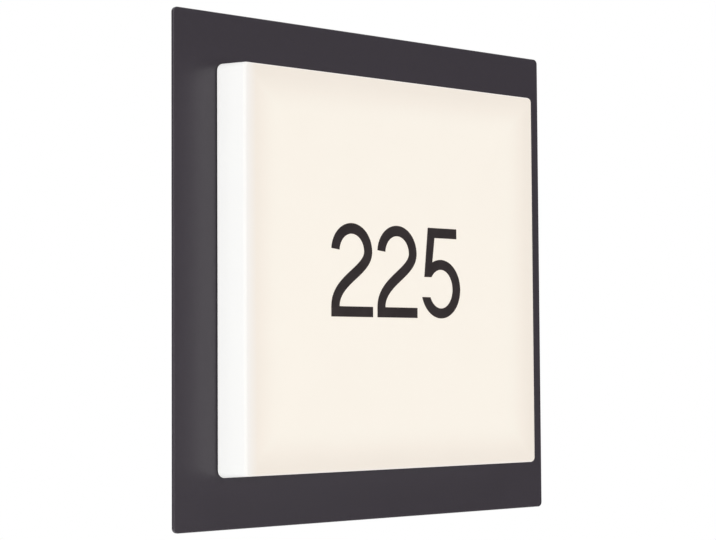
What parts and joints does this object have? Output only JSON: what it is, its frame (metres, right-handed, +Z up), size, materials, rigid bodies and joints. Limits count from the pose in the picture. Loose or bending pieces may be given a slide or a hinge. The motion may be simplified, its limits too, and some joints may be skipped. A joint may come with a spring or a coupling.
{
  "type": "illuminated house number sign",
  "caption": "Flat square wall sign with a dark face plate and a shallow clip-on opal light box for house number figures, lit by an edge-lit LED panel with its own driver.",
  "frame": {"origin": "centre of the face that lies on the wall", "axes": "+X right as seen from the front, +Z up, +Y into the wall, so the sign faces -Y"},
  "size_m": [0.3, 0.0295, 0.3],
  "materials": {
    "powder_coat": "fine-textured satin powder coat",
    "gasket_foam": "closed-cell foam",
    "grommet_rubber": "matt moulded rubber",
    "seal_rubber": "matt rubber strip",
    "opal_acrylic": "satin opal",
    "spring_steel": "bright rolled strip",
    "screw_steel": "zinc plated",
    "pillar_aluminium": "turned",
    "tray_aluminium": "mill finish sheet",
    "reflector_white": "matt white sheet",
    "guide_acrylic": "clear polished",
    "film_white": "frosted film",
    "led_board_white": "white solder mask",
    "led_package": "phosphor yellow",
    "bezel_plastic": "moulded white",
    "driver_plastic": "moulded, fine texture",
    "circuit_green": "green solder mask",
    "component_black": "moulded black",
    "terminal_plastic": "moulded grey",
    "contact_brass": "bare",
    "button_plastic": "moulded orange",
    "clamp_plastic": "moulded black",
    "earth_steel": "plated",
    "ring_tinned": "tinned",
    "lead_brown": "smooth insulation",
    "lead_blue": "smooth insulation",
    "lead_green_yellow": "smooth insulation",
    "lead_red": "smooth insulation",
    "lead_black": "smooth insulation"
  },
  "bodies": {
    "base": {"wall_gasket": "gasket_foam", "back_plate": "powder_coat", "cable_grommet": "grommet_rubber", "diffuser_seal": "seal_rubber", "spring_clips": "spring_steel", "clip_screws": "screw_steel", "panel_pillars": "pillar_aluminium", "panel_tray": "tray_aluminium", "reflector_sheet": "reflector_white", "light_guide": "guide_acrylic", "diffusing_film": "film_white", "led_board": "led_board_white", "leds": "led_package", "panel_bezel": "bezel_plastic", "panel_screws": "screw_steel", "driver_base": "driver_plastic", "driver_lid": "driver_plastic", "driver_board": "circuit_green", "driver_components": "component_black", "driver_screws": "screw_steel", "terminal_block": "terminal_plastic", "terminal_contacts": "contact_brass", "terminal_screws": "screw_steel", "cable_clamp": "clamp_plastic", "clamp_screws": "screw_steel", "earth_stud": "earth_steel", "earth_washer": "earth_steel", "earth_ring_terminal": "ring_tinned", "earth_nut": "earth_steel", "live_lead": "lead_brown", "neutral_lead": "lead_blue", "earth_lead": "lead_green_yellow", "led_lead_positive": "lead_red", "led_lead_negative": "lead_black", "led_lead_clips": "clamp_plastic"},
    "light_box": {"diffuser": "opal_acrylic"},
    "live_button": {"live_release_button": "button_plastic"},
    "neutral_button": {"neutral_release_button": "button_plastic"},
    "earth_button": {"earth_release_button": "button_plastic"}
  },
  "joints": [
    {"name": "diffuser_pull", "type": "slide", "parent": "base", "child": "light_box", "axis": [0, -1, 0], "range_m": [0, 0.06], "deforming": ["spring_clips"]},
    {"name": "live_button_press", "type": "slide", "parent": "base", "child": "live_button", "axis": [0, 1, 0], "range_m": [0, 0.0013], "stiffness_N_per_m": 800, "springref_m": -0.001},
    {"name": "neutral_button_press", "type": "slide", "parent": "base", "child": "neutral_button", "axis": [0, 1, 0], "range_m": [0, 0.0013], "stiffness_N_per_m": 800, "springref_m": -0.001},
    {"name": "earth_button_press", "type": "slide", "parent": "base", "child": "earth_button", "axis": [0, 1, 0], "range_m": [0, 0.0013], "stiffness_N_per_m": 800, "springref_m": -0.001}
  ]
}
